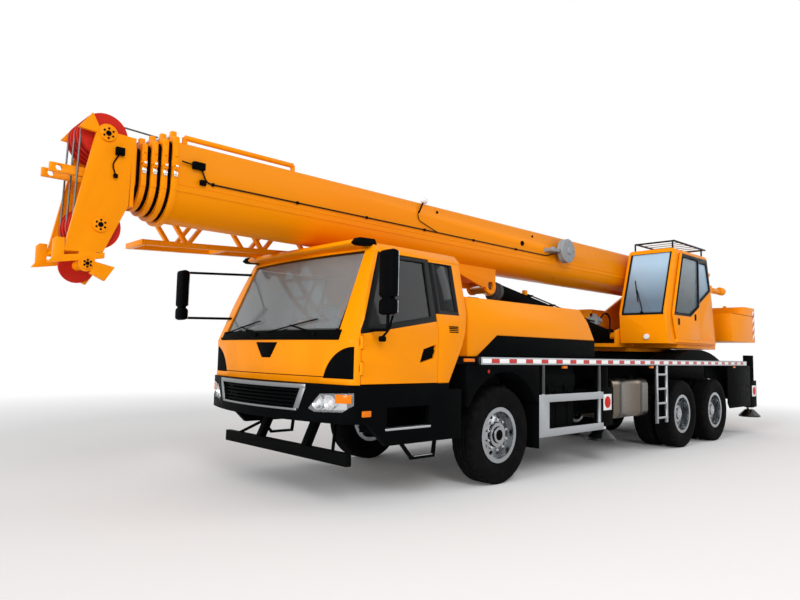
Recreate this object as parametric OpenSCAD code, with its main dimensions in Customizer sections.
/* [Overall] */
// Length from the tip of the boom head to the tail of the counterweight
overall_l = 12730; // [12600:10:12900]
// Width over the body sides
body_w = 2500; // [2480:2:2520]
// Clearance between pieces that move past each other
run_gap = 8; // [6:1:10]
// Radial clearance of pins and spindles in their bores
pin_gap = 0.3; // [0.2:0.1:0.5]

/* [Running gear] */
// Front axle ahead of the middle of the crane
front_axle_x = 2065; // [2050:5:2080]
// Front axle to the first rear axle
wheel_base = 4650; // [4630:5:4670]
// Spacing of the two rear axles
tandem_gap = 1350; // [1330:5:1370]
// Outer radius of a tyre
tyre_r = 525; // [520:1:530]
// Width of a tyre
tyre_w = 285; // [275:1:290]
// Radius of a rim's flange
rim_r = 300; // [295:1:305]
// Middle of a front tyre from the centre line
front_tyre_y = 1060; // [1050:1:1070]
// Middle of an outer rear tyre from the centre line
outer_tyre_y = 1105; // [1100:1:1107]
// Spacing of twin tyres
twin_gap = 330; // [325:1:335]
// Kingpin from the centre line
kingpin_y = 840; // [835:1:845]

/* [Frame and deck] */
// Height of the deck's top
deck_z = 1372; // [1360:2:1380]
// Depth of the deck's edge
deck_edge_h = 86; // [80:1:95]
// Height of an outrigger box
stand_box_h = 320; // [300:5:330]
// Middle of the front outrigger box
front_stand_x = -35; // [-45:5:-25]
// Middle of the rear outrigger box
rear_stand_x = -5745; // [-5755:5:-5735]
// Width of an outrigger beam
beam_w = 220; // [200:2:230]
// Height of an outrigger beam
beam_h = 250; // [230:2:255]

/* [Driver's cab] */
// Middle of the cab's bowed nose
cab_nose_x = 4300; // [4295:1:4305]
// Radius of the bowed nose and windscreen, seen from above
nose_bow_r = 7300; // [7000:50:7600]
// Back wall of the cab
cab_back_x = 2665; // [2660:5:2680]
// Underside of the painted cab
cab_low_z = 1106; // [1100:2:1112]
// Top of the roof
cab_top_z = 2430; // [2420:2:2440]
// Thickness of the cab's walls and doors
cab_wall = 50; // [40:2:60]
// Door's front edge and hinge
door_front_x = 4115; // [4105:5:4120]
// Door's rear edge
door_rear_x = 3145; // [3135:5:3155]

/* [Hood] */
// Front of the engine hood
hood_front_x = 2641; // [2630:1:2645]
// Rear of the hood at its top
hood_rear_x = 359; // [350:5:370]
// Height of the hood's top
hood_top_z = 2000; // [1990:2:2010]

/* [Turntable] */
// Slewing axis behind the middle of the crane
slew_x = -3135; // [-3145:5:-3125]
// Radius of the slewing ring
ring_r = 690; // [670:5:710]
// Top of the slewing ring
ring_top_z = 1500; // [1495:1:1505]
// Boom foot pin, along the crane
foot_x = -4435; // [-4445:5:-4425]
// Boom foot pin, height
foot_z = 2700; // [2690:5:2710]
// Luffing cylinder's lower pin, along the crane
luff_x = -2385; // [-2395:5:-2375]
// Luffing cylinder's lower pin, height
luff_z = 1760; // [1755:1:1765]
// Underside of the counterweight
weight_low_z = 1740; // [1730:2:1750]
// Top of the counterweight
weight_top_z = 2420; // [2400:5:2440]
// Underside of the operator's cab
op_low_z = 1632; // [1630:1:1640]
// Roof of the operator's cab
op_top_z = 3190; // [3180:2:3200]

/* [Boom] */
// Width of the boom's base section
boom_w = 600; // [590:2:610]
// Underside of the boom's base section
boom_low_z = 2500; // [2495:1:2505]
// Top of the boom's base section
boom_top_z = 3170; // [3160:2:3180]
// Wall of each boom section
boom_wall = 16; // [14:1:18]
// Step from one boom section to the next, each side
boom_step = 32; // [30:1:34]
// Length of the boom head ahead of the base section's collar
head_l = 885; // [880:1:890]
// Spacing of the collars
collar_pitch = 76; // [74:1:80]
// Rod eye's pin under the boom, along the crane
eye_x = 965; // [955:5:975]
// Rod eye's pin under the boom, height
eye_z = 2320; // [2315:1:2325]

/* [Hidden] */
$fn = 48;
half_w = body_w / 2;
tail_r = 3230;
cut = 20;
paint = "#F7A010";
black = "#1B1B1D";
steel = "#B9BCC0";
alu = "#CFD2D4";
red = "#C4321F";
clear = [0.35, 0.42, 0.46, 0.35];

// Places worked out from the driving sizes
tail_x = slew_x - tail_r;
tip_x = tail_x + overall_l;
boom_front_x = tip_x - head_l;
mid_axle_x = front_axle_x - wheel_base;
rear_axle_x = mid_axle_x - tandem_gap;
axle_z = tyre_r;
inner_tyre_y = outer_tyre_y - twin_gap;
cab_mid_x = (cab_nose_x + cab_back_x) / 2;

// Plan of a bowed front: short flats along an arc, with rounded corners that run into straight sides
bow_steps = 10;
corner_steps = 7;
function bow_half(front_x, bow_r, w, r) =
    let (centre_x = front_x - bow_r, turn = asin((w - r) / (bow_r - r)), corner = [centre_x + (bow_r - r) * cos(turn), w - r])
    concat([for (i = [0 : bow_steps]) let (a = turn * i / bow_steps) [centre_x + bow_r * cos(a), bow_r * sin(a)]],
        [for (i = [1 : corner_steps]) let (a = turn + (90 - turn) * i / corner_steps) corner + r * [cos(a), sin(a)]]);
module bow_plan(front_x, bow_r, w, r, back_x) {
    half = bow_half(front_x, bow_r, w, r);
    last = len(half) - 1;
    polygon(concat([[back_x, w]], [for (i = [0 : last]) half[last - i]],
        [for (i = [1 : last]) [half[i][0], -half[i][1]]], [[back_x, -w]]));
}

// Basic shapes: a block between two corners, and prisms along each axis
module block(x, y, z) {
    translate([x[0], y[0], z[0]]) cube([x[1] - x[0], y[1] - y[0], z[1] - z[0]]);
}
module along_y(y) {
    translate([0, y[1], 0]) rotate([90, 0, 0]) linear_extrude(y[1] - y[0]) children();
}
module along_x(x) {
    translate([x[0], 0, 0]) rotate([90, 0, 90]) linear_extrude(x[1] - x[0]) children();
}
module along_z(z) {
    translate([0, 0, z[0]]) linear_extrude(z[1] - z[0]) children();
}
module both_sides() {
    children();
    mirror([0, 1, 0]) children();
}
module side(s) {
    if (s > 0) children();
    else mirror([0, 1, 0]) children();
}
module pin_y(x, z, r, y) {
    translate([x, y[1], z]) rotate([90, 0, 0]) cylinder(r = r, h = y[1] - y[0]);
}
module pin_z(x, y, r, z) {
    translate([x, y, z[0]]) cylinder(r = r, h = z[1] - z[0]);
}
// Rounded rectangle between two corners of a plane
module rounded(a, b, r) {
    translate([a[0] + r, a[1]]) square([b[0] - a[0] - 2 * r, b[1] - a[1]]);
    translate([a[0], a[1] + r]) square([b[0] - a[0], b[1] - a[1] - 2 * r]);
    for (x = [a[0] + r, b[0] - r], y = [a[1] + r, b[1] - r]) translate([x, y]) circle(r);
}
// Straight bar from one point of a plane to another
module bar(a, b, w) {
    v = b - a;
    translate(a) rotate(atan2(v[1], v[0])) translate([0, -w / 2]) square([norm(v), w]);
}

// Chassis: rails, torsion box, outrigger boxes, slewing ring and front under-run bar
rail_y = [380, 460];
rail_z = [720, 960];
rail_front_x = 4000;
box_half_w = 430;
box_low_z = 800;
deck_plate = 14;
deck_under_z = deck_z - deck_plate;
box_front_x = 700;
box_rear_x = rear_stand_x;
stand_box_l = 600;
stand_in = 230;
stand_half_w = half_w - stand_in;
stand_low_z = 640;
stand_front_z = stand_low_z + stand_box_h / 2;
beam_off = 150;
under_bar_x = 4118;
under_bar_in = 174;
under_bar_half_w = half_w - under_bar_in;
under_bar_z = [385, 498];
under_bar_t = 60;
strut_y = [370, 450];
strut_w = 70;
strut_top_z = 800;
ring_wall = 130;
tow_r = 35;
tow_w = 60;
tow_reach = 150;
tow_z = 1010;
tow_eye_r = 80;

module stand_box(x) {
    difference() {
        block([x - stand_box_l / 2, x + stand_box_l / 2], [-stand_half_w, stand_half_w],
            [stand_low_z, stand_low_z + stand_box_h]);
        for (s = [-1, 1])
            block([x + s * beam_off - beam_w / 2 - run_gap, x + s * beam_off + beam_w / 2 + run_gap],
                [-stand_half_w - cut, stand_half_w + cut],
                [stand_front_z - beam_h / 2 - pin_gap, stand_front_z + beam_h / 2 + run_gap]);
    }
}
module under_run_bar() {
    block([under_bar_x - under_bar_t, under_bar_x], [-under_bar_half_w, under_bar_half_w], under_bar_z);
    both_sides() along_y(strut_y)
        bar([under_bar_x - under_bar_t / 2, under_bar_z[1] - strut_w / 2],
            [rail_front_x - strut_w, strut_top_z], strut_w);
}
module chassis_frame() {
    color(black) {
        difference() {
            union() {
                both_sides() block([box_front_x - rail_z[0], rail_front_x], rail_y, rail_z);
                block([rail_front_x - strut_w, rail_front_x], [-rail_y[1], rail_y[1]], rail_z);
                block([box_rear_x, box_front_x], [-box_half_w, box_half_w], [box_low_z, deck_under_z]);
                stand_box(front_stand_x);
                stand_box(rear_stand_x);
                pin_z(slew_x, 0, ring_r, [box_low_z + stand_box_h, ring_top_z]);
                under_run_bar();
                pin_y(rear_stand_x - stand_box_l / 2 - tow_reach, tow_z, tow_eye_r, [-tow_w / 2, tow_w / 2]);
                block([rear_stand_x - stand_box_l / 2 - tow_reach, box_rear_x], [-tow_w / 2, tow_w / 2],
                    [tow_z - tow_eye_r, tow_z + tow_eye_r]);
            }
            pin_z(slew_x, 0, ring_r - ring_wall, [box_low_z - cut, ring_top_z + cut]);
            pin_y(rear_stand_x - stand_box_l / 2 - tow_reach, tow_z, tow_r, [-tow_w, tow_w]);
            for (x = [front_stand_x, rear_stand_x], s = [-1, 1])
                block([x + s * beam_off - beam_w / 2 - run_gap, x + s * beam_off + beam_w / 2 + run_gap],
                    [-stand_half_w - cut, stand_half_w + cut],
                    [stand_front_z - beam_h / 2 - pin_gap, stand_front_z + beam_h / 2 + run_gap]);
        }
    }
}

// Deck: chequer plate with a folded edge and cross bearers
deck_x = [-5485, 2505];
deck_edge_t = 40;
bay_x = [865, 2465];
bay_half_w = 500;
bearer_w = 60;
bearer_x = [-5300, -4600, -1900, -900, 600];
bearer_h = 60;
module deck() {
    color(black) difference() {
        union() {
            block(deck_x, [-half_w, half_w], [deck_under_z, deck_z]);
            both_sides() block(deck_x, [half_w - deck_edge_t, half_w], [deck_z - deck_edge_h, deck_z]);
            for (x = bearer_x) both_sides()
                block([x, x + bearer_w], [box_half_w, half_w - deck_edge_t], [deck_under_z - bearer_h, deck_z]);
        }
        pin_z(slew_x, 0, ring_r + pin_gap, [deck_under_z - cut, deck_z + cut]);
        block(bay_x, [-bay_half_w, bay_half_w], [deck_under_z - cut, deck_z + cut]);
    }
}

// Axles: front beam with leaf springs, and two driven axles on a shared leaf pack
beam_axle_h = 110;
beam_axle_w = 110;
eye_r = 70;
eye_h = 170;
kingpin_r = 40;
kingpin_h = 260;
spring_y = [385, 455];
spring_half_l = 640;
spring_h = 60;
axle_tube_r = 80;
spindle_r = 60;
spindle_end_y = 1150;
diff_r = 230;
diff_w = 260;
pack_y = [470, 570];
trunnion_w = 240;
module front_axle() {
    difference() {
        union() {
            block([front_axle_x - beam_axle_w / 2, front_axle_x + beam_axle_w / 2], [-kingpin_y, kingpin_y],
                [axle_z - beam_axle_h / 2, axle_z + beam_axle_h / 2]);
            both_sides() pin_z(front_axle_x, kingpin_y, eye_r, [axle_z - eye_h / 2, axle_z + eye_h / 2]);
            both_sides() block([front_axle_x - spring_half_l, front_axle_x + spring_half_l], spring_y,
                [axle_z + beam_axle_h / 2, axle_z + beam_axle_h / 2 + spring_h]);
            both_sides() for (s = [-1, 1])
                block([front_axle_x + s * spring_half_l - spring_h, front_axle_x + s * spring_half_l + spring_h],
                    spring_y, [axle_z + beam_axle_h / 2, rail_z[0]]);
        }
        both_sides() pin_z(front_axle_x, kingpin_y, kingpin_r + pin_gap, [axle_z - eye_h, axle_z + eye_h]);
    }
}
module driven_axle(x) {
    pin_y(x, axle_z, axle_tube_r, [-inner_tyre_y + tyre_w, inner_tyre_y - tyre_w]);
    pin_y(x, axle_z, spindle_r, [-spindle_end_y, spindle_end_y]);
    pin_y(x, axle_z, diff_r, [-diff_w / 2, diff_w / 2]);
}
module axles() {
    color(black) {
        front_axle();
        for (x = [mid_axle_x, rear_axle_x]) driven_axle(x);
        both_sides() {
            block([rear_axle_x - axle_tube_r, mid_axle_x + axle_tube_r], pack_y,
                [axle_z, axle_z + axle_tube_r + spring_h]);
            block([(mid_axle_x + rear_axle_x - trunnion_w) / 2, (mid_axle_x + rear_axle_x + trunnion_w) / 2],
                [box_half_w, pack_y[1]], [axle_z, box_low_z + stand_box_h]);
        }
    }
}

// Driver's cab: one outer form, its inner form, and panels cut from the wall between them
cab_heel_x = 2975;
cab_heel_top = [2780, 1469];
cab_waist_z = 1820;
cab_brow_x = 3865;
screen_low = [cab_nose_x, 1500];
screen_top = [3915, 2385];
cab_lean_z = 1620;
cab_lean_in = 165;
frame_reach = 2 * cut;
cab_top_half_w = half_w - cab_lean_in;
cab_corner_r = 90;
roof_r = 70;
cab_rise_z = 2336;
screen_v = screen_low - screen_top;
screen_lean = atan2(screen_v[0], -screen_v[1]);
module cab_side_outline(t) {
    low_z = cab_low_z - (t > 0 ? cut : 0);
    polygon([[cab_heel_x + t, low_z], [cab_nose_x + cut, low_z], [cab_nose_x + cut, screen_low[1] + cut],
        [screen_top[0] + cut - t, screen_top[1] - t], [cab_brow_x - t, cab_top_z - t], [cab_back_x + t, cab_top_z - t],
        [cab_back_x + t, cab_waist_z], [cab_heel_top[0] + t, cab_heel_top[1]]]);
}
module cab_end_outline(t) {
    half = [[half_w - t, cab_low_z - cut], [half_w - t, cab_lean_z], [cab_top_half_w - t, cab_top_z - roof_r],
        [cab_top_half_w - roof_r - t, cab_top_z]];
    last = len(half) - 1;
    polygon(concat(half, [for (i = [0 : last]) [-half[last - i][0], half[last - i][1]]]));
}
// Bowed nose up to the windscreen's foot, and the bowed windscreen that leans back above it
module cab_bow(t) {
    along_z([cab_low_z - frame_reach, screen_low[1]])
        bow_plan(cab_nose_x - t, nose_bow_r - t, half_w - t, cab_corner_r - t, cab_back_x - cut);
    intersection() {
        block([cab_back_x - cut, cab_nose_x + cut], [-half_w - cut, half_w + cut], [screen_low[1], cab_top_z + cut]);
        translate([screen_low[0], 0, screen_low[1]]) rotate([0, -screen_lean, 0]) linear_extrude(2 * body_w, center = true)
            bow_plan(-t, nose_bow_r / cos(screen_lean) - t, half_w - t, cab_corner_r - t, -body_w);
    }
}
module cab_form(t) {
    intersection() {
        along_y([-half_w - cut, half_w + cut]) cab_side_outline(t);
        along_x([cab_back_x - cut, cab_nose_x + cut]) cab_end_outline(t);
        cab_bow(t);
    }
}
module cab_wall_form() {
    difference() {
        cab_form(0);
        cab_form(cab_wall);
    }
}
// Outlines of the door, its window, the quarter window and the windscreen
door_low_z = cab_low_z + run_gap;
door_top_z = cab_rise_z - run_gap;
door_lean_z = 1580;
door_top_x = 3800;
door_frame = 75;
door_sill_front_z = 1620;
door_sill_rear_z = 1755;
quarter_x = [2830, 3060];
quarter_z = [1828, 2305];
screen_in = [55, 115];
screen_half_w = [cab_top_half_w - screen_in[0], cab_top_half_w - screen_in[1]];
screen_z = [1540, 2350];
glass_t = 10;
glass_in = 14;
seal = 0.3;
module door_outline(g) {
    low_z = g > 0 ? cab_low_z - frame_reach : door_low_z;
    polygon([[door_rear_x - g, low_z], [door_front_x + g, low_z], [door_front_x + g, door_lean_z], [door_top_x + g, door_top_z + (g > 0 ? cut : 0)],
        [door_rear_x - g, door_top_z + (g > 0 ? cut : 0)]]);
}
module door_window(g) {
    polygon([[door_rear_x + door_frame + g, door_sill_rear_z + g], [door_front_x - door_frame - g, door_sill_front_z + g],
        [door_top_x - door_frame / 2 - g, door_top_z - door_frame / 2 - g],
        [door_rear_x + door_frame + g, door_top_z - door_frame / 2 - g]]);
}
module screen_outline(g) {
    polygon([[-screen_half_w[0] + g, screen_z[0] + g], [screen_half_w[0] - g, screen_z[0] + g],
        [screen_half_w[1] - g, screen_z[1] - g], [-screen_half_w[1] + g, screen_z[1] - g]]);
}
hinge_z = [1250, 1480];
hinge_r = 16;
hinge_pin_r = 9;
hinge_h = 60;
hinge_pad = 26;
module hinge_pads() {
    for (z = hinge_z) both_sides() {
        pin_z(door_front_x, half_w, hinge_pin_r, [z - hinge_h / 2 - hinge_pad, z + hinge_h / 2 + hinge_pad]);
        for (s = [-1, 1]) {
            mid = z + s * (hinge_h / 2 + pin_gap + hinge_pad / 2);
            pin_z(door_front_x, half_w, hinge_r, [mid - hinge_pad / 2, mid + hinge_pad / 2]);
        }
    }
}
module hinge_space(half_h) {
    for (z = hinge_z) both_sides() pin_z(door_front_x, half_w, hinge_r + run_gap, [z - half_h, z + half_h]);
}
// Corner vents: quarter rounds sunk into the nose beside its panel
vent_r = 380;
vent_out = 25;
vent_at = [10, 1060];
vent_low_z = 1156;
vent_d = 14;
vent_flush = 4;
module vent_outline(g) {
    intersection() {
        translate([half_w - vent_at[0], vent_at[1]]) circle(vent_r - g);
        translate([half_w - vent_r - g, vent_low_z + g]) square([vent_r - vent_out, vent_r]);
    }
}
module vent_space(d) {
    intersection() {
        difference() {
            cab_form(-cut);
            cab_form(d);
        }
        both_sides() along_x([cab_mid_x, cab_nose_x + 2 * cut]) vent_outline(0);
    }
}
module vent_inserts() {
    intersection() {
        difference() {
            cab_form(vent_flush);
            cab_form(vent_d - seal);
        }
        both_sides() along_x([cab_mid_x, cab_nose_x + cut]) vent_outline(seal);
    }
}
module cab_front() {
    color(paint) {
        cab_front_panel();
        hinge_pads();
    }
}
module cab_front_panel() {
    difference() {
        intersection() {
            cab_wall_form();
            block([cab_mid_x, cab_nose_x + cut], [-half_w, half_w], [cab_low_z, cab_top_z]);
        }
        vent_space(vent_d);
        hinge_space(hinge_h / 2);
        along_y([-half_w - cut, half_w + cut]) door_outline(run_gap);
        along_x([cab_mid_x, cab_nose_x + cut]) screen_outline(0);
        block([cab_back_x - cut, cab_nose_x + cut], [-half_w - cut, half_w + cut], [screen_top[1] - seal, cab_top_z + cut]);
        block([cab_back_x - cut, door_top_x + run_gap], [-half_w - cut, half_w + cut], [cab_rise_z, cab_top_z + cut]);
    }
}
module cab_back() {
    color(paint) difference() {
        intersection() {
            cab_wall_form();
            block([cab_back_x - cut, door_rear_x - run_gap], [-half_w, half_w], [cab_low_z, cab_rise_z]);
        }
        along_y([-half_w - cut, half_w + cut])
            translate([quarter_x[0], quarter_z[0]]) square([quarter_x[1] - quarter_x[0], quarter_z[1] - quarter_z[0]]);
    }
}
module cab_roof() {
    color(paint) intersection() {
        cab_wall_form();
        union() {
            block([cab_back_x - cut, door_top_x + run_gap], [-half_w, half_w], [cab_rise_z, cab_top_z + cut]);
            block([cab_mid_x, cab_nose_x], [-half_w, half_w], [screen_top[1], cab_top_z + cut]);
        }
    }
}
module cab_glass() {
    color(clear) {
        intersection() {
            difference() {
                cab_form(glass_in);
                cab_form(glass_in + glass_t);
            }
            along_x([cab_mid_x, cab_nose_x + cut]) screen_outline(seal);
        }
        intersection() {
            difference() {
                cab_form(glass_in);
                cab_form(glass_in + glass_t);
            }
            both_sides() along_y([cab_top_half_w - cab_wall - cab_corner_r, half_w])
                translate([quarter_x[0] + seal, quarter_z[0] + seal])
                    square([quarter_x[1] - quarter_x[0] - 2 * seal, quarter_z[1] - quarter_z[0] - 2 * seal]);
        }
    }
}
// Door handle's sunk dish, a leaning four-sided field
handle_x = 3195;
handle_w = 175;
handle_z = 1300;
handle_h = 135;
handle_lean = 50;
handle_d = 22;
module handle_outline() {
    polygon([[handle_x, handle_z + handle_lean], [handle_x + handle_w + handle_lean / 2, handle_z],
        [handle_x + handle_w - handle_lean / 2, handle_z + handle_h], [handle_x - handle_lean / 2, handle_z + handle_h + handle_lean]]);
}
module cab_door() {
    difference() {
        union() {
            difference() {
                intersection() {
                    cab_wall_form();
                    along_y([cab_top_half_w - cab_wall - cab_corner_r, half_w]) door_outline(0);
                }
                hinge_space(hinge_h / 2 + hinge_pad + run_gap);
                along_y([0, half_w + cut]) door_window(0);
                along_y([half_w - handle_d, half_w + cut]) handle_outline();
            }
            for (z = hinge_z) {
                pin_z(door_front_x, half_w, hinge_r, [z - hinge_h / 2, z + hinge_h / 2]);
                block([door_front_x - 2 * hinge_r - run_gap, door_front_x], [half_w - hinge_r, half_w - seal],
                    [z - hinge_h / 2, z + hinge_h / 2]);
            }
        }
        for (z = hinge_z) pin_z(door_front_x, half_w, hinge_pin_r + pin_gap, [z - hinge_h, z + hinge_h]);
    }
}
module cab_door_glass() {
    intersection() {
        difference() {
            cab_form(glass_in);
            cab_form(glass_in + glass_t);
        }
        along_y([cab_top_half_w - cab_wall - cab_corner_r, half_w]) door_window(seal);
    }
}
module door_left() { color(paint) cab_door(); }
module door_right() { color(paint) side(-1) cab_door(); }
module door_glass_left() { color(clear) cab_door_glass(); }
module door_glass_right() { color(clear) side(-1) cab_door_glass(); }

// Cab base: floor, bowed bumper with its grille, side skirts, loop steps and corner vents
floor_t = 60;
bumper_back_x = 4050;
bumper_front_x = 4444;
bumper_bow_r = 3350;
bumper_z = [770, cab_low_z];
bumper_r = 120;
bumper_wall = 60;
grille_half_w = [690, 600];
grille_z = [885, 1055];
slat_n = 5;
slat_start_share = 0.5;
slat_h = 18;
slat_in = 14;
lamp_back_x = 4150;
lamp_in = [455, 330, 14, 14, 95, 380];
lamp_z = [885, 1024, 1040, 930, 868, 858];
lamp_flush = 3;
skirt_t = 60;
skirt_rear_x = 2790;
skirt_low_z = [560, 800];
step_x = [3250, 3800];
step_z = [700, 900];
loop_x = [3128, 3150, 3442, 3591];
loop_z = [575, 417];
loop_w = 28;
step_d = 140;
module bumper_plan(t) {
    bow_plan(bumper_front_x - t, bumper_bow_r - t, half_w - t, bumper_r - t, bumper_back_x - (t > 0 ? cut : 0));
}
module grille_outline(g) {
    polygon([[-grille_half_w[1] - g, grille_z[0]], [grille_half_w[1] + g, grille_z[0]], [grille_half_w[0] + g, grille_z[1]],
        [-grille_half_w[0] - g, grille_z[1]]]);
}
module lamp_outline() {
    polygon([for (i = [0 : len(lamp_in) - 1]) [half_w - lamp_in[i], lamp_z[i]]]);
}
module bumper() {
    difference() {
        along_z(bumper_z) bumper_plan(0);
        along_z([bumper_z[0] - cut, cab_low_z - floor_t]) bumper_plan(bumper_wall);
        along_x([bumper_back_x, bumper_front_x + cut]) grille_outline(0);
        both_sides() along_x([lamp_back_x, bumper_front_x + cut]) lamp_outline();
    }
    for (i = [0 : slat_n - 1]) {
        z = grille_z[0] + (i + slat_start_share) * (grille_z[1] - grille_z[0]) / slat_n;
        intersection() {
            along_z([z - slat_h / 2, z + slat_h / 2]) difference() {
                bumper_plan(slat_in);
                bumper_plan(bumper_wall);
            }
            along_x([bumper_back_x, bumper_front_x + cut]) grille_outline(cut);
        }
    }
}
module skirt() {
    along_y([half_w - skirt_t, half_w]) difference() {
        polygon([[skirt_rear_x, skirt_low_z[0]], [step_x[1], skirt_low_z[0]], [bumper_back_x, skirt_low_z[1]],
            [bumper_back_x, cab_low_z - floor_t], [skirt_rear_x, cab_low_z - floor_t]]);
        translate([step_x[0], step_z[0]]) square([step_x[1] - step_x[0], step_z[1] - step_z[0]]);
    }
    along_y([half_w - skirt_t, half_w - loop_w]) {
        bar([loop_x[3], loop_z[0]], [loop_x[2], loop_z[1]], loop_w);
        bar([loop_x[2] + loop_w / 2, loop_z[1]], [loop_x[1] - loop_w / 2, loop_z[1]], loop_w);
        bar([loop_x[1], loop_z[1]], [loop_x[0], loop_z[0]], loop_w);
    }
}
module cab_base() {
    color(black) {
        block([cab_heel_x, bumper_back_x], [-half_w, half_w], [cab_low_z - floor_t, cab_low_z]);
        bumper();
        both_sides() {
            skirt();
            block([step_x[0], step_x[1]], [half_w - skirt_t - step_d, half_w - skirt_t], [step_z[0] - loop_w, step_z[0]]);
            block([cab_heel_x, bumper_back_x], rail_y, [rail_z[1], cab_low_z - floor_t]);
        }
        vent_inserts();
    }
}

// Lamps: swept head lamps flush with the bumper, and tail lamps on the rear outrigger box
tail_lamp_in = [420, 120];
tail_lamp_z = [760, 880];
tail_lamp_t = 40;
module lamps() {
    color("#E8ECEE") both_sides() intersection() {
        along_z(bumper_z) bumper_plan(lamp_flush);
        along_x([lamp_back_x + seal, bumper_front_x]) offset(delta = -seal) lamp_outline();
    }
    color(red) both_sides()
        block([rear_stand_x - stand_box_l / 2 - tail_lamp_t, rear_stand_x - stand_box_l / 2],
            [stand_half_w - tail_lamp_in[0], stand_half_w - tail_lamp_in[1]], tail_lamp_z);
}

// Inside of the driver's cab: two seats, dashboard and steering wheel
seat_x = [3030, 3480];
seat_y = [330, 850];
seat_z = [1330, 1450];
seat_base_in = 90;
back_t = 120;
back_h = 620;
dash_x = [3860, 4100];
dash_z = [1330, 1510];
dash_side = 120;
wheel_rim_r = 210;
wheel_tube_r = 16;
column_r = 28;
wheel_at = [3790, 590, 1600];
wheel_tilt = 35;
column_l = 260;
module cab_seat() {
    block([seat_x[0] + seat_base_in, seat_x[1] - seat_base_in], [seat_y[0] + seat_base_in, seat_y[1] - seat_base_in],
        [cab_low_z, seat_z[0]]);
    along_y(seat_y) rounded([seat_x[0], seat_z[0]], [seat_x[1], seat_z[1]], seat_base_in / 2);
    along_y(seat_y) rounded([seat_x[0], seat_z[0]], [seat_x[0] + back_t, seat_z[0] + back_h], seat_base_in / 2);
}
module cab_interior() {
    color("#3A3A3C") {
        both_sides() cab_seat();
        block(dash_x, [-half_w + dash_side, half_w - dash_side], dash_z);
        for (s = [-1, 1]) block(dash_x, [s * (half_w - dash_side) - s * dash_side / 2 - dash_side / 2,
            s * (half_w - dash_side) - s * dash_side / 2 + dash_side / 2], [cab_low_z, dash_z[0]]);
        translate(wheel_at) rotate([0, -wheel_tilt, 0]) {
            rotate_extrude() translate([wheel_rim_r, 0]) circle(wheel_tube_r);
            for (a = [0, 120, 240]) rotate(a) translate([0, -wheel_tube_r / 2, -wheel_tube_r / 2])
                cube([wheel_rim_r, wheel_tube_r, wheel_tube_r]);
            translate([0, 0, -column_l]) cylinder(r = column_r, h = column_l + wheel_tube_r);
        }
    }
}

// Mirrors: the left one on its door, the right one ahead of the windscreen on long arms
mirror_out = 310;
mirror_half_y = half_w + mirror_out;
mirror_w = 190;
mirror_t = 90;
mirror_z = [1720, 2290];
mirror_left_x = 4010;
mirror_foot_z = 1590;
mirror_right_x = 4530;
arm_r = 14;
mirror_r = 40;
module mirror_case(x) {
    along_z(mirror_z) rounded([x - mirror_t / 2, mirror_half_y - mirror_w], [x + mirror_t / 2, mirror_half_y], mirror_r);
}
module mirror_left() {
    color(black) {
        mirror_case(mirror_left_x);
        pin_y(mirror_left_x, mirror_foot_z, arm_r, [half_w + seal, mirror_half_y - mirror_w / 2 + arm_r]);
        pin_z(mirror_left_x, mirror_half_y - mirror_w / 2, arm_r, [mirror_foot_z - arm_r, mirror_z[0] + mirror_r]);
    }
}
mirror_arm_z = [1745, 2265];
arm_in = 240;
arm_y = half_w - arm_in;
arm_root_x = [4060, 3840];
module arm(z, x) {
    along_z([z - arm_r, z + arm_r]) {
        bar([x, arm_y], [mirror_right_x, mirror_half_y - mirror_w / 2], 2 * arm_r);
    }
}
module mirror_right() {
    color(black) side(-1) difference() {
        union() {
            mirror_case(mirror_right_x);
            arm(mirror_arm_z[0], arm_root_x[0]);
            arm(mirror_arm_z[1], arm_root_x[1]);
        }
        cab_form(-seal);
    }
}

// Engine hood over the engine, and its engine as one block
hood_in = 50;
hood_half_w = half_w - hood_in;
hood_low_z = 1605;
hood_tail_x = 75;
hood_foot_x = 2485;
hood_knee_x = 2142;
hood_wall = 30;
hood_crease_z = 1830;
hood_top_half_w = hood_half_w - hood_in;
module hood_side(t) {
    polygon([[hood_front_x - t, deck_z - (t > 0 ? cut : 0)], [hood_foot_x - (t > 0 ? hood_wall : 0), deck_z - (t > 0 ? cut : 0)],
        [hood_knee_x, hood_low_z - (t > 0 ? hood_wall : 0)], [hood_tail_x + t, hood_low_z - (t > 0 ? hood_wall : 0)],
        [hood_rear_x + t, hood_top_z - t], [hood_front_x - t, hood_top_z - t]]);
}
module hood_end(t) {
    polygon([[-hood_half_w + t, deck_z - cut - cut], [hood_half_w - t, deck_z - cut - cut], [hood_half_w - t, hood_crease_z],
        [hood_top_half_w - t, hood_top_z - t], [-hood_top_half_w + t, hood_top_z - t], [-hood_half_w + t, hood_crease_z]]);
}
module hood_form(t) {
    intersection() {
        along_y([-hood_half_w, hood_half_w]) hood_side(t);
        along_x([hood_tail_x - cut, hood_front_x + cut]) hood_end(t);
    }
}
module engine_hood() {
    color(paint) difference() {
        hood_form(0);
        hood_form(hood_wall);
    }
}
engine_x = [1000, 2300];
engine_half_w = 360;
engine_top_z = 1650;
module engine() {
    color("#4A4C50") {
        block(engine_x, [-engine_half_w, engine_half_w], [rail_z[1] + seal, engine_top_z]);
        both_sides() block([engine_x[0], engine_x[0] + bearer_w], [engine_half_w, rail_y[1]], [rail_z[1], rail_z[1] + bearer_h]);
    }
}

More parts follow.
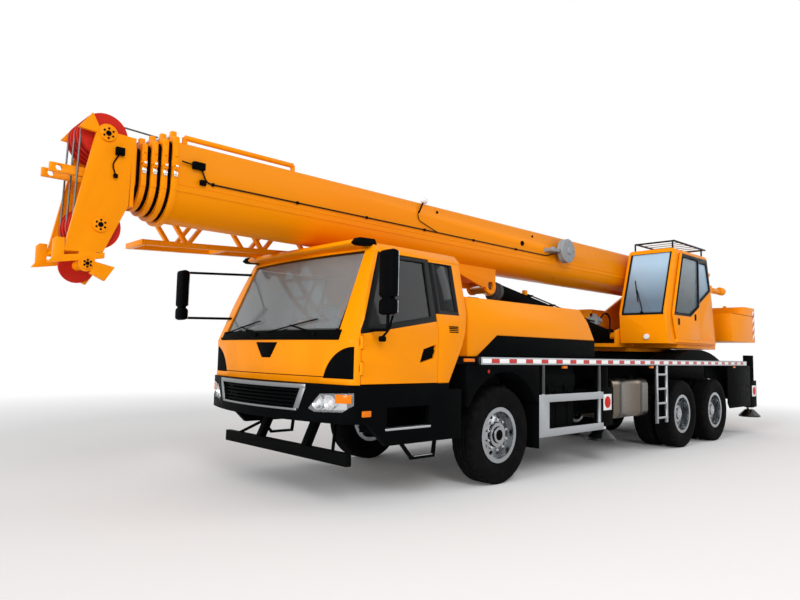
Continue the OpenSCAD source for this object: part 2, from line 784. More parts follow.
// Mudguards: front arches with flaps, rear humps on the deck, rear side boards and the hood's dark base
arch_r = 685;
arch_w = 350;
arch_y = [half_w - arch_w, half_w];
arch_x = [-640, 640];
arch_low_z = 860;
flap_t = 10;
flap_low_z = 330;
hump_x = [-2255, -4125];
hump_top_z = 1547;
hump_w = 430;
hump_in_y = half_w - hump_w;
hump_rise = hump_top_z - deck_z;
hump_half = (hump_x[0] - hump_x[1]) / 2;
hump_r = (hump_half * hump_half + hump_rise * hump_rise) / (2 * hump_rise);
board_x = [rear_stand_x + 45, -4530];
board_z = [520, deck_z - deck_edge_h];
board_y = [half_w - 35, half_w - 15];
board_cut = 90;
module rear_board(rear_x) {
    along_y(board_y) polygon([[rear_x, board_z[0]], [board_x[1] - board_cut, board_z[0]], [board_x[1], board_z[0] + board_cut],
        [board_x[1], board_z[1]], [rear_x, board_z[1]]]);
}
module mudguards() {
    color(black) {
        both_sides() {
            along_y(arch_y) difference() {
                translate([front_axle_x + arch_x[0], arch_low_z]) square([arch_x[1] - arch_x[0], deck_z - deck_edge_h - arch_low_z]);
                translate([front_axle_x, axle_z]) circle(arch_r);
            }
            block([front_axle_x + arch_x[0] - flap_t, front_axle_x + arch_x[0]], arch_y, [flap_low_z, deck_z - deck_edge_h]);
            along_y([hump_in_y, half_w]) intersection() {
                translate([hump_x[0] - hump_half, hump_top_z - hump_r]) circle(hump_r);
                translate([hump_x[1], deck_z]) square([2 * hump_half, hump_rise]);
            }
        }
        rear_board(board_x[0]);
        side(-1) rear_board(board_x[0] + 2 * beam_off);
        difference() {
            along_y([-hood_half_w, hood_half_w])
                polygon([[hood_foot_x - run_gap, deck_z], [hood_knee_x - run_gap, hood_low_z], [hood_tail_x, hood_low_z], [hood_tail_x, deck_z]]);
            block([bay_x[0] - hood_front_x, hood_foot_x], [-hood_half_w + hood_wall, hood_half_w - hood_wall], [deck_z - cut, hood_low_z + cut]);
        }
    }
}

// Side guards and ladders of extruded aluminium, on both sides
guard_x = [-55, 1415];
guard_z = [451, 941];
guard_t = 35;
guard_rail_h = 90;
guard_post_w = 210;
ladder_x = [-2005, -1635];
ladder_low_z = 430;
stile_w = 45;
rung_n = 4;
rung_start_share = 0.3;
rung_h = 30;
module side_guard(rear_x) {
    along_y([half_w - guard_t, half_w]) {
        for (z = [guard_z[0], guard_z[1] - guard_rail_h])
            translate([rear_x, z]) square([guard_x[1] - rear_x, guard_rail_h]);
        translate([guard_x[1] - guard_post_w, guard_z[0]]) square([guard_post_w, guard_z[1] - guard_z[0]]);
        for (x = [rear_x + guard_rail_h, guard_x[1] - guard_rail_h])
            translate([x - stile_w / 2, guard_z[0]]) square([stile_w, deck_z - deck_edge_h - guard_z[0]]);
    }
}
module side_guards() {
    color(alu) {
        side_guard(guard_x[0]);
        side(-1) side_guard(guard_x[0] + 2 * beam_off);
    }
    color(alu) both_sides() {
        along_y([half_w - guard_t, half_w]) {
            for (x = [ladder_x[0], ladder_x[1] - stile_w])
                translate([x, ladder_low_z]) square([stile_w, deck_z - deck_edge_h - ladder_low_z]);
            for (i = [0 : rung_n - 1])
                translate([ladder_x[0], ladder_low_z + (i + rung_start_share) * (deck_z - deck_edge_h - ladder_low_z) / rung_n])
                    square([ladder_x[1] - ladder_x[0], rung_h]);
        }
    }
}

// Side tanks with their straps: fuel on the left, hydraulic oil on the right
tank_x = [-1385, -365];
tank_in = [550, 25];
tank_y = [half_w - tank_in[0], half_w - tank_in[1]];
tank_z = [561, 1095];
tank_r = 90;
strap_t = 6;
strap_w = 60;
strap_share = [0.2, 0.8];
module side_tanks() {
    color(steel) both_sides() {
        along_x(tank_x) rounded([tank_y[0], tank_z[0]], [tank_y[1], tank_z[1]], tank_r);
        for (f = strap_share) {
            x = tank_x[0] + f * (tank_x[1] - tank_x[0]);
            along_x([x - strap_w / 2, x + strap_w / 2])
                rounded([tank_y[0] - strap_t, tank_z[0] - strap_t], [tank_y[1] + strap_t, tank_z[1] + strap_t], tank_r + strap_t);
            block([x - strap_w / 2, x + strap_w / 2], [box_half_w, tank_y[0]], [box_low_z + strap_w, tank_z[1] - tank_r]);
        }
    }
}

// Wheels: tyres, disc rims and steering knuckles
bead_half_share = 0.36;
bulge_share = 0.42;
shoulder_share = 0.44;
crown_share = 0.36;
shoulder_drop = 22;
seat_r = 272;
rim_wall = 17;
flange_t = 14;
flange_rise = 5;
disc_t = 16;
hub_r = 130;
hub_cap_r = 85;
hub_len = 110;
hole_n = 10;
hole_r = 26;
hole_pcr = 205;
bead_half = tyre_w * bead_half_share;
module tyre_ring() {
    side_r = seat_r + (tyre_r - seat_r) * bulge_share;
    rotate_extrude($fn = 64)
        polygon([[seat_r + pin_gap, -bead_half], [rim_r + flange_rise, -bead_half], [side_r, -tyre_w / 2],
            [tyre_r - shoulder_drop, -tyre_w * shoulder_share], [tyre_r, -tyre_w * crown_share],
            [tyre_r, tyre_w * crown_share], [tyre_r - shoulder_drop, tyre_w * shoulder_share], [side_r, tyre_w / 2],
            [rim_r + flange_rise, bead_half], [seat_r + pin_gap, bead_half]]);
}
module tyre_at(x, y) {
    translate([x, y, axle_z]) rotate([-90, 0, 0]) tyre_ring();
}
// Rim in its own frame, outboard along +Z, with its disc at a given offset
module rim_ring(disc_z, hub_to) {
    difference() {
        rotate_extrude() {
            polygon([[seat_r - rim_wall, -bead_half - flange_t], [rim_r, -bead_half - flange_t], [rim_r, -bead_half - pin_gap],
                [seat_r, -bead_half - pin_gap], [seat_r, bead_half + pin_gap], [rim_r, bead_half + pin_gap],
                [rim_r, bead_half + flange_t], [seat_r - rim_wall, bead_half + flange_t]]);
            polygon([[spindle_r + pin_gap, disc_z - disc_t], [hub_r + disc_t, disc_z - disc_t],
                [seat_r - rim_wall, disc_z / 3 - disc_t], [seat_r - rim_wall, disc_z / 3 + disc_t / 2],
                [hub_r + disc_t, disc_z + disc_t / 2], [spindle_r + pin_gap, disc_z + disc_t / 2]]);
        }
        for (i = [0 : hole_n - 1]) rotate(i * 360 / hole_n) translate([hole_pcr, 0, -tyre_w]) cylinder(r = hole_r, h = 2 * tyre_w);
    }
    rotate_extrude() {
        translate([spindle_r + pin_gap, min(disc_z, hub_to)]) square([hub_r - spindle_r - pin_gap, abs(hub_to - disc_z)]);
    }
}
front_disc_z = 60;
twin_disc_z = 45;
hub_cap_t = 18;
module hub_ring(from_z, to_z) {
    rotate_extrude() translate([hub_cap_r - disc_t, from_z]) square([disc_t, to_z - from_z]);
}
module rim_front() {
    translate([front_axle_x, front_tyre_y, axle_z]) rotate([-90, 0, 0]) {
        rim_ring(front_disc_z, front_disc_z + hub_len / 3);
        translate([0, 0, spindle_end_y - front_tyre_y + run_gap]) cylinder(r = hub_cap_r, h = hub_cap_t);
        hub_ring(front_disc_z + hub_len / 3 - disc_t, spindle_end_y - front_tyre_y + run_gap + hub_cap_t);
    }
}
module rims_twin(x) {
    translate([x, outer_tyre_y, axle_z]) rotate([-90, 0, 0]) {
        rim_ring(-twin_disc_z, twin_disc_z);
        translate([0, 0, -twin_gap]) rim_ring(twin_disc_z, twin_gap - twin_disc_z);
        translate([0, 0, spindle_end_y - outer_tyre_y + run_gap]) cylinder(r = hub_cap_r, h = hub_cap_t);
        hub_ring(twin_disc_z - disc_t, spindle_end_y - outer_tyre_y + run_gap + hub_cap_t);
    }
}
module tyres_twin(x) {
    tyre_at(x, outer_tyre_y);
    tyre_at(x, inner_tyre_y);
}
module tyre_front_left() { color(black) tyre_at(front_axle_x, front_tyre_y); }
module tyre_front_right() { color(black) side(-1) tyre_at(front_axle_x, front_tyre_y); }
module rim_front_left() { color(steel) rim_front(); }
module rim_front_right() { color(steel) side(-1) rim_front(); }
module tyres_mid_left() { color(black) tyres_twin(mid_axle_x); }
module tyres_mid_right() { color(black) side(-1) tyres_twin(mid_axle_x); }
module tyres_rear_left() { color(black) tyres_twin(rear_axle_x); }
module tyres_rear_right() { color(black) side(-1) tyres_twin(rear_axle_x); }
module rims_mid_left() { color(steel) rims_twin(mid_axle_x); }
module rims_mid_right() { color(steel) side(-1) rims_twin(mid_axle_x); }
module rims_rear_left() { color(steel) rims_twin(rear_axle_x); }
module rims_rear_right() { color(steel) side(-1) rims_twin(rear_axle_x); }

yoke_t = 40;
yoke_r = 65;
yoke_plate_y = [925, 950];
yoke_half_w = 60;
module knuckle() {
    pin_z(front_axle_x, kingpin_y, kingpin_r, [axle_z - kingpin_h / 2, axle_z + kingpin_h / 2]);
    for (s = [-1, 1]) {
        z = axle_z + s * (eye_h / 2 + pin_gap + yoke_t / 2);
        pin_z(front_axle_x, kingpin_y, yoke_r, [z - yoke_t / 2, z + yoke_t / 2]);
        block([front_axle_x - yoke_half_w, front_axle_x + yoke_half_w], [kingpin_y, yoke_plate_y[1]], [z - yoke_t / 2, z + yoke_t / 2]);
    }
    block([front_axle_x - yoke_half_w, front_axle_x + yoke_half_w], yoke_plate_y,
        [axle_z - eye_h / 2 - pin_gap - yoke_t, axle_z + eye_h / 2 + pin_gap + yoke_t]);
    pin_y(front_axle_x, axle_z, spindle_r, [yoke_plate_y[0], spindle_end_y]);
}
module knuckle_left() { color(black) knuckle(); }
module knuckle_right() { color(black) side(-1) knuckle(); }

// Turntable: base, cheeks that hold the boom foot, service box, winch and cab bracket
cheek_y = [340, 385];
table_z = ring_top_z + pin_gap;
table_t = 60;
foot_pin_r = 70;
foot_boss_r = 190;
luff_pin_r = 60;
luff_boss_r = 150;
cheek_front_x = -2085;
table_reach = 700;
cheek_rear_x = -5600;
cheek_rear_z = 2260;
service_x = [-4200, -2600];
service_out_y = 1150;
service_top_z = 2250;
bracket_z = [1566, op_low_z];
winch_x = -5085;
winch_z = 2330;
drum_r = 190;
winch_flange_r = 260;
winch_flange_t = 30;
winch_half_w = 250;
module cheek() {
    difference() {
        union() {
            polygon([[slew_x + table_reach, table_z], [slew_x + table_reach, bracket_z[0]], [cheek_front_x, bracket_z[0]],
                [cheek_front_x, luff_z + luff_boss_r / 2], [luff_x, luff_z + luff_boss_r],
                [foot_x + foot_boss_r * 2, foot_z], [foot_x, foot_z + foot_boss_r], [foot_x - foot_boss_r, foot_z],
                [cheek_rear_x, cheek_rear_z], [cheek_rear_x, bracket_z[0]], [slew_x - table_reach, bracket_z[0]],
                [slew_x - table_reach, table_z]]);
            translate([foot_x, foot_z]) circle(foot_boss_r);
        }
    }
}
module turntable_frame() {
    color(paint) {
        pin_z(slew_x, 0, ring_r + table_t, [table_z, table_z + table_t]);
        both_sides() along_y(cheek_y) cheek();
        block([slew_x - table_reach, slew_x + table_reach], [-cheek_y[0], cheek_y[0]], [table_z, table_z + table_t]);
        block([slew_x + table_reach - table_t, cheek_front_x], [-cheek_y[0], cheek_y[0]], [bracket_z[0], bracket_z[0] + table_t]);
        pin_y(foot_x, foot_z, foot_pin_r, [-cheek_y[1] - disc_t, cheek_y[1] + disc_t]);
        pin_y(luff_x, luff_z, luff_pin_r, [-cheek_y[1], cheek_y[1]]);
        along_x(service_x) rounded([-service_out_y, bracket_z[0]], [-cheek_y[1] + cut, service_top_z], cut);
        block(service_x, [cheek_y[1] - cut, service_out_y], bracket_z);
        pin_y(winch_x, winch_z, drum_r, [-cheek_y[0], cheek_y[0]]);
        for (s = [-1, 1]) pin_y(winch_x, winch_z, winch_flange_r,
            [s * winch_half_w - winch_flange_t / 2, s * winch_half_w + winch_flange_t / 2]);
    }
}

// Counterweight: slab rounded to its tail radius, slotted for the turntable's cheeks
weight_l = 1460;
weight_front_x = tail_x + weight_l;
weight_half_w = 1200;
weight_slot_half = cheek_y[1] + run_gap;
weight_top_l = 790;
weight_step_x = tail_x + weight_top_l;
weight_step_z = 2260;
lug_w = 40;
lug_r = 60;
lug_y = 700;
lug_hole_r = 25;
module counterweight() {
    color(paint) difference() {
        union() {
            intersection() {
                union() {
                    block([tail_x - cut, weight_front_x], [-weight_half_w, weight_half_w], [weight_low_z, weight_step_z]);
                    block([tail_x - cut, weight_step_x], [-weight_half_w, weight_half_w], [weight_low_z, weight_top_z]);
                }
                pin_z(slew_x, 0, slew_x - tail_x, [weight_low_z - cut, weight_top_z + cut]);
            }
            both_sides() pin_y(weight_step_x - ring_r / 2, weight_top_z, lug_r, [lug_y, lug_y + lug_w]);
        }
        block([cheek_rear_x - run_gap, weight_front_x + cut], [-weight_slot_half, weight_slot_half],
            [weight_low_z - cut, weight_top_z + cut]);
        both_sides() pin_y(weight_step_x - ring_r / 2, weight_top_z + lug_r / 2, lug_hole_r, [lug_y - cut, lug_y + lug_w + cut]);
    }
    color(paint) both_sides() block([cheek_rear_x, weight_front_x], [cheek_y[1], weight_slot_half + cut],
        [weight_low_z + ring_wall, weight_low_z + 2 * ring_wall]);
}

// Operator's cab: hollow shell with glazing and a door that slides back outside it
op_in_y = 410;
op_out_y = 1185;
op_wall = 40;
op_toe_x = -2160;
op_screen_low = [-2122, 2139];
op_screen_top = [-2500, op_top_z];
op_back_top_x = -3780;
op_back_x = -3985;
op_back_z = 2420;
op_tail_x = -4120;
op_r = 60;
module op_side(t) {
    polygon([[op_toe_x - t, op_low_z + t], [op_screen_low[0] - t, op_screen_low[1]], [op_screen_top[0] - t, op_screen_top[1] - t],
        [op_back_top_x + t, op_top_z - t], [op_back_x + t, op_back_z], [op_tail_x + t, op_low_z + t]]);
}
module op_form(t) {
    intersection() {
        along_y([op_in_y + t, op_out_y - t]) op_side(t);
        along_x([op_tail_x - cut, op_screen_low[0] + cut])
            rounded([op_in_y + t, op_low_z - op_r], [op_out_y - t, op_top_z], op_r);
    }
}
op_pane_gap = 70;
op_window_z = 2120;
op_door_x = [-3335, -2445];
op_door_z = [1700, 3110];
op_door_nose = [-2310, 2110];
op_door_top_x = -2640;
op_door_t = 36;
op_rail_x = [-4020, -2440];
op_rail_h = 40;
op_lap = 30;
op_door_frame = 60;
op_sill_x = -2966;
op_sill_z = 2060;
op_sill_rear_z = 2240;
op_rear_pane = [[-3890, 2600], [-3410, 2350], [-3410, 3040], [-3740, 3040]];
guard_bar_r = 16;
guard_post_r = 14;
guard_rise = 150;
guard_bar_x = [-3890, -2620];
module op_screen(g) {
    polygon([[op_in_y + op_pane_gap + g, op_window_z + g], [op_out_y - op_pane_gap - g, op_window_z + g],
        [op_out_y - op_pane_gap - g, op_top_z - op_pane_gap - g], [op_in_y + op_pane_gap + g, op_top_z - op_pane_gap - g]]);
}
module op_door_outline() {
    polygon([[op_door_x[0], op_door_z[0]], [op_door_x[1], op_door_z[0]], op_door_nose, [op_door_top_x, op_door_z[1]],
        [op_door_x[0], op_door_z[1]]]);
}
module op_door_window() {
    offset(delta = -op_door_frame) polygon([[op_door_x[0], op_sill_rear_z], [op_sill_x, op_sill_z], [op_door_nose[0], op_sill_z],
        op_door_nose, [op_door_top_x, op_door_z[1]], [op_door_x[0], op_door_z[1]]]);
}
module op_guard() {
    for (y = [op_in_y + op_pane_gap, op_out_y - op_pane_gap]) {
        translate([guard_bar_x[0] - guard_bar_r, y, op_top_z + guard_rise - guard_bar_r]) rotate([0, 90, 0])
            cylinder(r = guard_bar_r, h = guard_bar_x[1] - guard_bar_x[0] + 2 * guard_bar_r);
        for (x = [op_back_top_x + op_wall, op_screen_top[0] - op_pane_gap])
            pin_z(x, y, guard_post_r, [op_top_z - op_wall / 2, op_top_z + guard_rise - guard_bar_r]);
    }
    for (x = guard_bar_x)
        pin_y(x, op_top_z + guard_rise - guard_bar_r, guard_post_r, [op_in_y + op_pane_gap, op_out_y - op_pane_gap]);
}
module operator_cab() {
    color(paint) {
        difference() {
            op_form(0);
            op_form(op_wall);
            along_x([op_screen_top[0] - op_wall, op_screen_low[0] + cut]) op_screen(0);
            along_y([op_out_y - op_wall - cut, op_out_y + cut]) offset(delta = -op_lap) op_door_outline();
            along_y([op_out_y - op_wall - cut, op_out_y + cut]) polygon(op_rear_pane);
        }
        op_guard();
        block(op_rail_x, [op_out_y - op_wall, op_door_y[1]], [op_door_z[0] - op_rail_h, op_door_z[0] - pin_gap]);
    }
}
module operator_glass() {
    color(clear) {
        intersection() {
            difference() {
                op_form(glass_in);
                op_form(glass_in + glass_t);
            }
            along_x([op_screen_top[0] - op_wall, op_screen_low[0] + cut]) op_screen(seal);
        }
        along_y([op_out_y - glass_in - glass_t, op_out_y - glass_in]) offset(delta = -seal) polygon(op_rear_pane);
    }
}
op_seat_x = [-3560, -3080];
op_seat_y = [560, 1020];
op_seat_z = [2000, 2110];
module operator_seat() {
    color("#3A3A3C") {
        block([op_seat_x[0] + seat_base_in, op_seat_x[1] - seat_base_in], [op_seat_y[0] + seat_base_in, op_seat_y[1] - seat_base_in],
            [op_low_z + op_wall, op_seat_z[0]]);
        along_y(op_seat_y) rounded([op_seat_x[0], op_seat_z[0]], [op_seat_x[1], op_seat_z[1]], seat_base_in / 2);
        along_y(op_seat_y) rounded([op_seat_x[0], op_seat_z[0]], [op_seat_x[0] + back_t, op_seat_z[0] + back_h], seat_base_in / 2);
    }
}
op_door_y = [op_out_y + run_gap, op_out_y + run_gap + op_door_t];
module operator_door() {
    color(paint) along_y(op_door_y) difference() {
        op_door_outline();
        op_door_window();
    }
}
module operator_door_glass() {
    color(clear) along_y([op_door_y[0] + glass_t, op_door_y[0] + 2 * glass_t]) offset(delta = -seal) op_door_window();
}

// Boom: nested sections of U form with a rounded underside, each with a collar at its front
boom_top_r = 60;
collar_l = 44;
collar_rise = 36;
boom_rear_x = -4640;
boom_tail_gap = 120;
foot_lug_w = 60;
bracket_y = [130, 170];
bracket_front_x = 1865;
bracket_rear_x = 865;
eye_boss_r = 110;
web_off = 170;
fin_w = 46;
fin_in = 30;
fin_rise = 52;
reel_at = [-485, 2950];
reel_r = 170;
reel_y = [380, 470];
reel_hub_r = 60;
tube_in = [1256, 131];
tube_x = [boom_front_x - tube_in[0], boom_front_x - tube_in[1]];
tube_y = 240;
tube_z = 3235;
tube_r = 24;
tube_foot_w = 40;
bracket_h = 96;
brace_in = 272;
brace_rise = 34;
function section_half(k) = boom_w / 2 - k * boom_step;
module section_outline(k, t) {
    r = section_half(k) - t;
    mid_z = boom_low_z + boom_w / 2;
    top = boom_top_z - k * boom_step - t;
    translate([0, mid_z]) circle(r, $fn = 72);
    rounded([-r, mid_z - boom_top_r], [r, top], boom_top_r / 2);
    translate([-r, mid_z - boom_top_r]) square([2 * r, boom_top_r * 2]);
}
module section_bar(k, x) {
    along_x(x) section_outline(k, 0);
}
module collar(k, x) {
    along_x([x - collar_l, x]) section_outline(k, -collar_rise);
    top = boom_top_z - k * boom_step;
    both_sides() block([x - collar_l, x], [section_half(k) - fin_in - fin_w, section_half(k) - fin_in],
        [top, top + collar_rise + fin_rise]);
}
module boom_reel() {
    pin_y(reel_at[0], reel_at[1], reel_hub_r, [boom_w / 2 - boom_wall / 2, reel_y[1]]);
    pin_y(reel_at[0], reel_at[1], reel_r, reel_y);
}
module boom_tube() {
    along_x(tube_x) translate([tube_y, tube_z]) circle(tube_r);
    for (x = tube_x) block([x - tube_foot_w / 2, x + tube_foot_w / 2], [tube_y - tube_r / 2, tube_y + tube_r / 2],
        [boom_top_z - boom_wall / 2, tube_z]);
}
module section_bore(k, x) {
    along_x([x[0] - cut, x[1] + cut]) section_outline(k, boom_wall);
}
module boom_base() {
    color(paint) difference() {
        union() {
            section_bar(0, [boom_rear_x, boom_front_x]);
            collar(0, boom_front_x);
            both_sides() along_y(bracket_y) {
                polygon([[bracket_rear_x, boom_low_z + bracket_h], [bracket_rear_x, eye_z], [eye_x + web_off, eye_z - boom_step],
                    [bracket_front_x, boom_low_z], [bracket_front_x, boom_low_z + bracket_h]]);
                translate([eye_x, eye_z]) circle(eye_boss_r);
            }
            along_y([-bracket_y[1], bracket_y[1]])
                bar([eye_x + brace_in, eye_z + brace_rise], [bracket_front_x, boom_low_z + boom_step], boom_step);
            both_sides() pin_y(foot_x, foot_z, foot_boss_r - run_gap, [boom_w / 2 - foot_lug_w, cheek_y[0] - run_gap]);
            boom_reel();
            boom_tube();
        }
        section_bore(0, [boom_rear_x - web_off, boom_front_x]);
        pin_y(foot_x, foot_z, foot_pin_r + pin_gap, [-boom_w, boom_w]);
        pin_y(eye_x, eye_z, luff_pin_r, [-boom_w, boom_w]);
    }
}
section_rear_gap = foot_boss_r + boom_tail_gap;
module boom_section_2() { color(paint) inner_section(1); }
module boom_section_3() { color(paint) inner_section(2); }
module boom_section_4() { color(paint) inner_section(3); }
module inner_section(k) {
    front = boom_front_x + k * collar_pitch;
    rear = foot_x + section_rear_gap + k * boom_tail_gap;
    difference() {
        union() {
            section_bar(k, [rear, front]);
            wear_pad(k, rear);
            collar(k, front);
        }
        section_bore(k, [rear, front]);
    }
}
module wear_pad(k, x) {
    along_x([x, x + collar_l]) section_outline(k, -(boom_step - boom_wall - pin_gap));
}

// Boom head: last section with side plates, sheaves and a folded runner sheave
head_root_x = boom_front_x + 4 * collar_pitch;
head_tail_x = foot_x + section_rear_gap + 4 * boom_tail_gap;
head_plate_y = [215, 250];
function head_at(p) = [tip_x - p[0], p[1]];
function head_points(list) = [for (p = list) head_at(p)];
// Points of the head as distance behind the tip and height
head_top = [295, 3133];
head_low = [102, 2123];
head_heel = [387, 2139];
head_knee = [562, 2545];
head_back = [575, 3120];
rope_guard = [[333, 3097], [252, 3249], [156, 3110]];
foot_plate = [[402, 2141], [44, 2083], [0, 2022], [60, 2030], [402, 2096]];
tip_post = [[106, 2060], [29, 2060], [29, 2200], [50, 2222], [106, 2222]];
runner_ear = [[322, 2065], [486, 2032], [414, 1916], [301, 1968]];
top_pin = [373, 3104];
low_pin = [354, 2358];
runner_pin = [273, 2040];
sheave_r = 185;
sheave_t = 34;
sheave_n = 5;
sheave_pitch = 80;
sheave_pin_r = 40;
pin_boss_r = 80;
runner_bar_w = 120;
runner_boss_r = 60;
runner_r = 136;
fork_z = 2785;
fork_y = [90, 130];
fork_h = 70;
jib_pin_r = 25;
fork_eye_in = 65;
module head_plate() {
    for (list = [[head_back, head_top, head_low, head_heel, head_knee], rope_guard, foot_plate, tip_post, runner_ear])
        polygon(head_points(list));
    translate(head_at(top_pin)) circle(pin_boss_r);
    bar(head_at(runner_pin), head_at([runner_pin[0], head_low[1] + cut]), runner_bar_w);
    translate(head_at(runner_pin)) circle(runner_boss_r);
}
module boom_head() {
    color(paint) difference() {
        union() {
            difference() {
                union() {
                    section_bar(4, [head_tail_x, head_root_x]);
                    wear_pad(4, head_tail_x);
                }
                section_bore(4, [head_tail_x, head_root_x]);
            }
            along_x([head_root_x - collar_l, head_root_x]) section_outline(4, -boom_step);
            along_x([head_root_x - cut, head_root_x + cut / 2]) translate([-head_plate_y[1], head_knee[1]])
                square([2 * head_plate_y[1], head_back[1] - head_knee[1]]);
            both_sides() along_y(head_plate_y) head_plate();
            both_sides() along_y(fork_y) translate(head_at([head_back[0], fork_z - fork_h / 2])) square([head_back[0], fork_h]);
            both_sides() along_y([sheave_t, head_plate_y[1]]) translate(head_at([head_heel[0] - cut, head_heel[1]]))
                square([head_heel[0] - head_low[0] - 2 * cut, cut]);
            for (p = [top_pin, low_pin, runner_pin]) pin_y(tip_x - p[0], p[1], sheave_pin_r, [-head_plate_y[1], head_plate_y[1]]);
        }
        both_sides() pin_y(tip_x - fork_eye_in, fork_z, jib_pin_r, [0, head_plate_y[1]]);
    }
}
module sheave(p, r, y) {
    translate([tip_x - p[0], y, p[1]]) rotate([90, 0, 0]) rotate_extrude()
        polygon([[sheave_pin_r + pin_gap, -sheave_t / 2], [r, -sheave_t / 2], [r - sheave_t / 2, 0], [r, sheave_t / 2],
            [sheave_pin_r + pin_gap, sheave_t / 2]]);
}
module head_sheaves() {
    color(red) {
        for (i = [0 : sheave_n - 1]) {
            y = (i - (sheave_n - 1) / 2) * sheave_pitch;
            sheave(top_pin, sheave_r, y);
            sheave(low_pin, sheave_r, y);
        }
        sheave(runner_pin, runner_r, 0);
    }
}

// Lattice jib stowed along the boom's right side, with hangers on the base section
jib_y = [400, 760];
jib_front_gap = 80;
jib_x = [-2200, boom_front_x - jib_front_gap];
jib_root_z = [2380, 3000];
jib_tip_z = [2800, 3000];
jib_bar = 50;
jib_lace = 35;
jib_bays = 9;
jib_hang_share = [0.3, 0.75];
function jib_at(f) = jib_x[0] + f * (jib_x[1] - jib_x[0]);
function jib_low(f) = jib_tip_z[0] + f * (jib_root_z[0] - jib_tip_z[0]);
module jib_panel() {
    bar([jib_x[0], jib_tip_z[0]], [jib_x[1], jib_root_z[0]], jib_bar);
    bar([jib_x[0], jib_tip_z[1]], [jib_x[1], jib_root_z[1]], jib_bar);
    for (i = [0 : jib_bays - 1]) {
        a = i / jib_bays;
        b = (i + 1) / jib_bays;
        bar([jib_at(a), jib_tip_z[1]], [jib_at((a + b) / 2), jib_low((a + b) / 2)], jib_lace);
        bar([jib_at((a + b) / 2), jib_low((a + b) / 2)], [jib_at(b), jib_tip_z[1]], jib_lace);
    }
}
module lattice_jib() {
    color(paint) side(-1) {
        for (y = jib_y) along_y([y, y + jib_bar]) jib_panel();
        for (i = [0 : jib_bays]) {
            x = jib_at(i / jib_bays);
            for (z = [jib_tip_z[1], jib_low(i / jib_bays)])
                block([x - jib_bar / 2, x + jib_bar / 2], [jib_y[0], jib_y[1] + jib_bar], [z - jib_bar / 2, z + jib_bar / 2]);
        }
        for (f = jib_hang_share)
            block([jib_at(f) - jib_bar, jib_at(f) + jib_bar], [boom_w / 2, jib_y[0] + jib_bar],
                [jib_tip_z[1] - jib_bar / 2, jib_tip_z[1] + jib_bar / 2]);
    }
}

// Luffing cylinder: barrel hinged on the turntable, rod towards the boom's bracket
luff_v = [eye_x - luff_x, eye_z - luff_z];
luff_l = norm(luff_v);
luff_tilt = atan2(luff_v[1], luff_v[0]);
barrel_r = 130;
rod_r = 85;
barrel_eye_r = 120;
barrel_eye_w = 240;
rod_eye_r = 100;
rod_eye_w = 230;
barrel_end = 260;
module luff_frame() {
    translate([luff_x, 0, luff_z]) rotate([0, -luff_tilt, 0]) children();
}
module luff_barrel() {
    color(black) luff_frame() difference() {
        union() {
            rotate([0, 90, 0]) cylinder(r = barrel_r, h = luff_l - barrel_end);
            translate([0, barrel_eye_w / 2, 0]) rotate([90, 0, 0]) cylinder(r = barrel_eye_r, h = barrel_eye_w);
        }
        translate([barrel_end, 0, 0]) rotate([0, 90, 0]) cylinder(r = rod_r + pin_gap, h = luff_l);
        translate([0, barrel_eye_w, 0]) rotate([90, 0, 0]) cylinder(r = luff_pin_r + pin_gap, h = 2 * barrel_eye_w);
    }
}
module luff_rod() {
    color("#D8DADC") luff_frame() difference() {
        union() {
            translate([barrel_end + run_gap, 0, 0]) rotate([0, 90, 0]) cylinder(r = rod_r, h = luff_l - barrel_end - run_gap);
            translate([luff_l, rod_eye_w / 2, 0]) rotate([90, 0, 0]) cylinder(r = rod_eye_r, h = rod_eye_w);
        }
        translate([luff_l, rod_eye_w, 0]) rotate([90, 0, 0]) cylinder(r = luff_pin_r, h = 2 * rod_eye_w);
    }
}

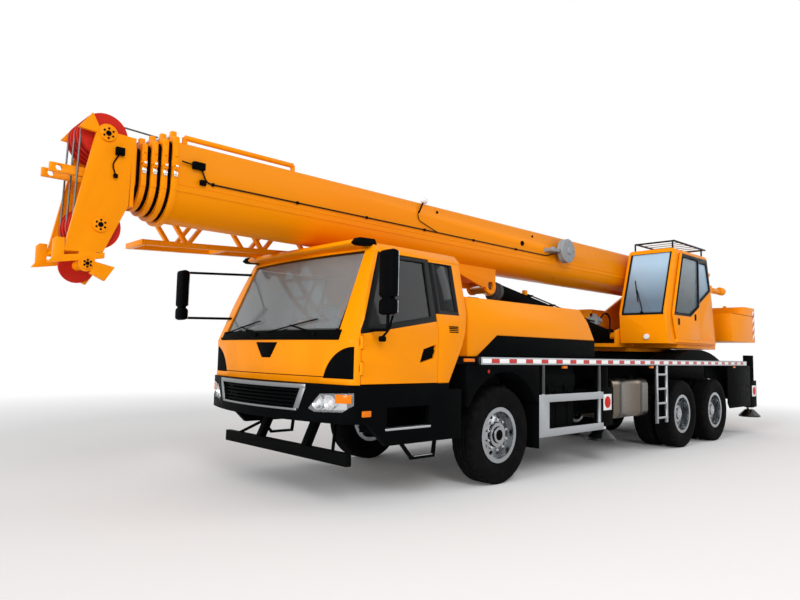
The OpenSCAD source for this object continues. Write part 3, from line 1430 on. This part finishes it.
// Outriggers: beams that slide out of their boxes, each with a jack and its pad
jack_in = 110;
jack_y = half_w - jack_in;
jack_tube_r = 90;
jack_rod_r = 62;
jack_wall_gap = 0.3;
jack_low_z = 480;
jack_top_front_z = 1270;
jack_top_rear_z = 1486;
pad_r = 190;
pad_neck_r = 80;
pad_z = [300, 330];
pad_cone_z = 440;
beam_in_y = -1000;
beam_wall = 14;
module stand_beam(x, s, top_z) {
    side(s) difference() {
        union() {
            block([x - beam_w / 2, x + beam_w / 2], [beam_in_y, jack_y], [stand_front_z - beam_h / 2, stand_front_z + beam_h / 2]);
            pin_z(x, jack_y, jack_tube_r, [jack_low_z, top_z]);
        }
        block([x - beam_w / 2 + beam_wall, x + beam_w / 2 - beam_wall], [beam_in_y - cut, jack_y - jack_tube_r - beam_wall],
            [stand_front_z - beam_h / 2 + beam_wall, stand_front_z + beam_h / 2 - beam_wall]);
        pin_z(x, jack_y, jack_rod_r + jack_wall_gap, [jack_low_z - cut, top_z - beam_wall]);
    }
}
module stand_jack(x, s, top_z) {
    side(s) {
        pin_z(x, jack_y, jack_rod_r, [pad_z[0], top_z - beam_wall - run_gap]);
        pin_z(x, jack_y, pad_r, pad_z);
        translate([x, jack_y, pad_z[1]]) cylinder(r1 = pad_r, r2 = pad_neck_r, h = pad_cone_z - pad_z[1]);
    }
}
module beam_front_left() { color(black) stand_beam(front_stand_x - beam_off, 1, jack_top_front_z); }
module beam_front_right() { color(black) stand_beam(front_stand_x + beam_off, -1, jack_top_front_z); }
module beam_rear_left() { color(black) stand_beam(rear_stand_x - beam_off, 1, jack_top_rear_z); }
module beam_rear_right() { color(black) stand_beam(rear_stand_x + beam_off, -1, jack_top_rear_z); }
module jack_front_left() { color(steel) stand_jack(front_stand_x - beam_off, 1, jack_top_front_z); }
module jack_front_right() { color(steel) stand_jack(front_stand_x + beam_off, -1, jack_top_front_z); }
module jack_rear_left() { color(steel) stand_jack(rear_stand_x - beam_off, 1, jack_top_rear_z); }
module jack_rear_right() { color(steel) stand_jack(rear_stand_x + beam_off, -1, jack_top_rear_z); }

chassis_frame();
deck();
axles();
cab_base();
cab_front();
cab_back();
cab_roof();
cab_glass();
cab_interior();
lamps();
mirror_right();
engine_hood();
engine();
mudguards();
side_guards();
side_tanks();
door_left();
door_right();
door_glass_left();
door_glass_right();
mirror_left();
knuckle_left();
knuckle_right();
tyre_front_left();
tyre_front_right();
rim_front_left();
rim_front_right();
tyres_mid_left();
tyres_mid_right();
tyres_rear_left();
tyres_rear_right();
rims_mid_left();
rims_mid_right();
rims_rear_left();
rims_rear_right();
turntable_frame();
operator_cab();
operator_glass();
operator_seat();
counterweight();
operator_door();
operator_door_glass();
boom_base();
boom_section_2();
boom_section_3();
boom_section_4();
boom_head();
head_sheaves();
lattice_jib();
luff_barrel();
luff_rod();
beam_front_left();
beam_front_right();
beam_rear_left();
beam_rear_right();
jack_front_left();
jack_front_right();
jack_rear_left();
jack_rear_right();
